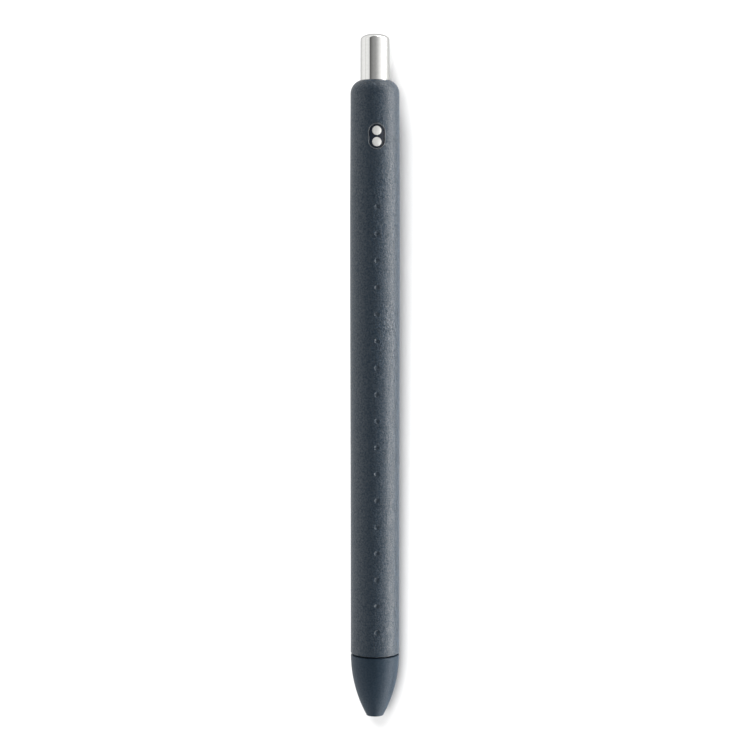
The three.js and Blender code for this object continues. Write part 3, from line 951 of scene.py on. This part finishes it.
ink = rod("ink_fill", PLUG_R, INK_BOTTOM_Y, INK_TOP_Y, 0.2)
stands_for(ink, "ink_column", "refill", MATERIALS["gel_ink"])
grease = rod("grease_plug", PLUG_R, INK_TOP_Y + 0.05, FOLLOWER_TOP_Y, 0.1, dish=0.6)
stands_for(grease, "gel_follower", "refill", MATERIALS["follower_grease"])
stands_for(tail_plug(), "tail_plug", "refill", MATERIALS["dark_plastic"])
stands_for(tip_holder(), "tip_holder", "refill", MATERIALS["natural_plastic"])
stands_for(tip_cone(), "tip_cone", "refill", MATERIALS["tip_metal"])
stands_for(writing_ball(), "writing_ball", "ball", MATERIALS["ball_metal"])
stands_for(nose_cone(), "nose_cone", "nose", MATERIALS["nose_plastic"])

spring = stands_for(return_spring(), "return_spring", "spring", MATERIALS["spring_steel"])
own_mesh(spring)

for node in ("cam_guide", "plunger", "rotor"):
    slot = "rotor_plastic" if node == "rotor" else "natural_plastic"
    obj = frame["nodes"][node]
    obj.data.materials.clear()
    obj.data.materials.append(MATERIALS[slot])


# ---------------------------------------------------------------- stage, light and camera

FLOOR_REACH = 3.0  # metres


def floor():
    mesh = bmesh.new()
    corners = ((-1, -1), (1, -1), (1, 1), (-1, 1))
    mesh.faces.new([mesh.verts.new((x * FLOOR_REACH, y * FLOOR_REACH, 0)) for x, y in corners])
    data = bpy.data.meshes.new("floor")
    mesh.to_mesh(data)
    mesh.free()
    plane = bpy.data.objects.new("floor", data)
    bpy.context.scene.collection.objects.link(plane)
    material, shader = new_material("pale_floor", 0.9)
    shader.inputs["Base Color"].default_value = (0.75, 0.75, 0.75, 1)
    shader.inputs["Specular IOR Level"].default_value = 0.0
    data.materials.append(material)
    return plane


def studio(stops, glow, backdrop):
    """A world of strip lights that run along the pen.

    Each stop is (degrees from straight up toward +X, brightness). The strips show in gloss.
    Rough surfaces are lit by an even glow in their place, and the camera sees a pale backdrop.
    """
    world = bpy.data.worlds.new("studio")
    world.use_nodes = True
    nodes, links = world.node_tree.nodes, world.node_tree.links
    where = nodes.new("ShaderNodeTexCoord")
    split = nodes.new("ShaderNodeSeparateXYZ")
    links.new(where.outputs["Generated"], split.inputs["Vector"])
    angle = nodes.new("ShaderNodeMath")
    angle.operation = "ARCTAN2"
    links.new(split.outputs["X"], angle.inputs[0])
    links.new(split.outputs["Z"], angle.inputs[1])
    share = nodes.new("ShaderNodeMapRange")
    share.inputs["From Min"].default_value = -math.pi
    share.inputs["From Max"].default_value = math.pi
    links.new(angle.outputs["Value"], share.inputs["Value"])

    brightest = max(bright for degrees, bright in stops)
    ramp = nodes.new("ShaderNodeValToRGB")
    elements = ramp.color_ramp.elements
    elements.remove(elements[0])
    for i, (degrees, bright) in enumerate(stops):
        place = (degrees + 180) / 360
        element = elements[0] if i == 0 else elements.new(place)
        element.position = place
        element.color = (*[bright / brightest] * 3, 1)
    links.new(share.outputs["Result"], ramp.inputs["Fac"])

    strips = nodes["Background"]
    strips.inputs["Strength"].default_value = brightest
    links.new(ramp.outputs["Color"], strips.inputs["Color"])
    path = nodes.new("ShaderNodeLightPath")
    seen = strips
    for ray, level in (("Is Diffuse Ray", glow), ("Is Camera Ray", backdrop)):
        even = nodes.new("ShaderNodeBackground")
        even.inputs["Color"].default_value = (level, level, level, 1)
        mix = nodes.new("ShaderNodeMixShader")
        links.new(path.outputs[ray], mix.inputs["Fac"])
        links.new(seen.outputs[0], mix.inputs[1])
        links.new(even.outputs["Background"], mix.inputs[2])
        seen = mix
    links.new(seen.outputs["Shader"], nodes["World Output"].inputs["Surface"])
    world.cycles.sampling_method = "NONE"  # or rough surfaces see the strips too
    bpy.context.scene.world = world


def floor_light(plane, lean_left, lean_back, spread, strength):
    """A soft light from the pen's upper left. It lights the floor only, and gives the shadow."""
    data = bpy.data.lights.new("floor_light", "SUN")
    data.angle = math.radians(spread)
    data.energy = strength
    lamp = bpy.data.objects.new("floor_light", data)
    bpy.context.scene.collection.objects.link(lamp)
    toward = Vector((-math.tan(math.radians(lean_left)), math.tan(math.radians(lean_back)), 1))
    lamp.rotation_mode = "QUATERNION"
    lamp.rotation_quaternion = toward.to_track_quat("Z", "Y")
    lit = bpy.data.collections.new("lit_floor")
    lit.objects.link(plane)
    lamp.light_linking.receiver_collection = lit


plane = floor()
# Two lights rather than one draw the shadow out along the pen.
floor_light(plane, lean_left=16, lean_back=0, spread=29, strength=2.2)
floor_light(plane, lean_left=16, lean_back=38, spread=29, strength=2.5)
studio([
    (-180, 1.0), (-90, 1.0), (-77, 1.3), (-59, 1.25), (-49, 1.0), (-44.5, 0.2), (-40, 0.15),
    (-33, 0.28), (-17, 0.42), (0, 0.5), (15, 0.75), (31, 1.2), (49, 1.7), (64, 3.2),
    (75, 14.3), (87, 16.6), (92, 7.5), (105, 1.1), (180, 1.0),
], glow=0.5, backdrop=1.0)

CAMERA_DISTANCE = 363.0  # from the pen's middle
CAMERA_SWING = math.radians(4.5)
CAMERA_TILT = math.radians(3.0)
VIEW_WIDTH = 157.33  # of the pen's plane, across the frame
SENSOR_WIDTH = 36

camera_data = bpy.data.cameras.new("camera")
camera_data.sensor_width = SENSOR_WIDTH
camera_data.lens = SENSOR_WIDTH * CAMERA_DISTANCE / VIEW_WIDTH
camera_data.clip_start = 0.01
camera_data.clip_end = 10
camera = bpy.data.objects.new("camera", camera_data)
bpy.context.scene.collection.objects.link(camera)
aim = PEN @ Vector((0.01, LENGTH / 2 + 0.57, 0))
level = (UP * math.cos(CAMERA_SWING) - RIGHT * math.sin(CAMERA_SWING)).normalized()
back = (level * math.cos(CAMERA_TILT) + ALONG * math.sin(CAMERA_TILT)).normalized()
side = ALONG.cross(back).normalized()
above = back.cross(side)
turn = Matrix((side, above, back)).transposed().to_4x4()
camera.matrix_world = Matrix.Translation(aim + back * CAMERA_DISTANCE * MM) @ turn
bpy.context.scene.camera = camera
bpy.context.scene.view_settings.view_transform = "Standard"
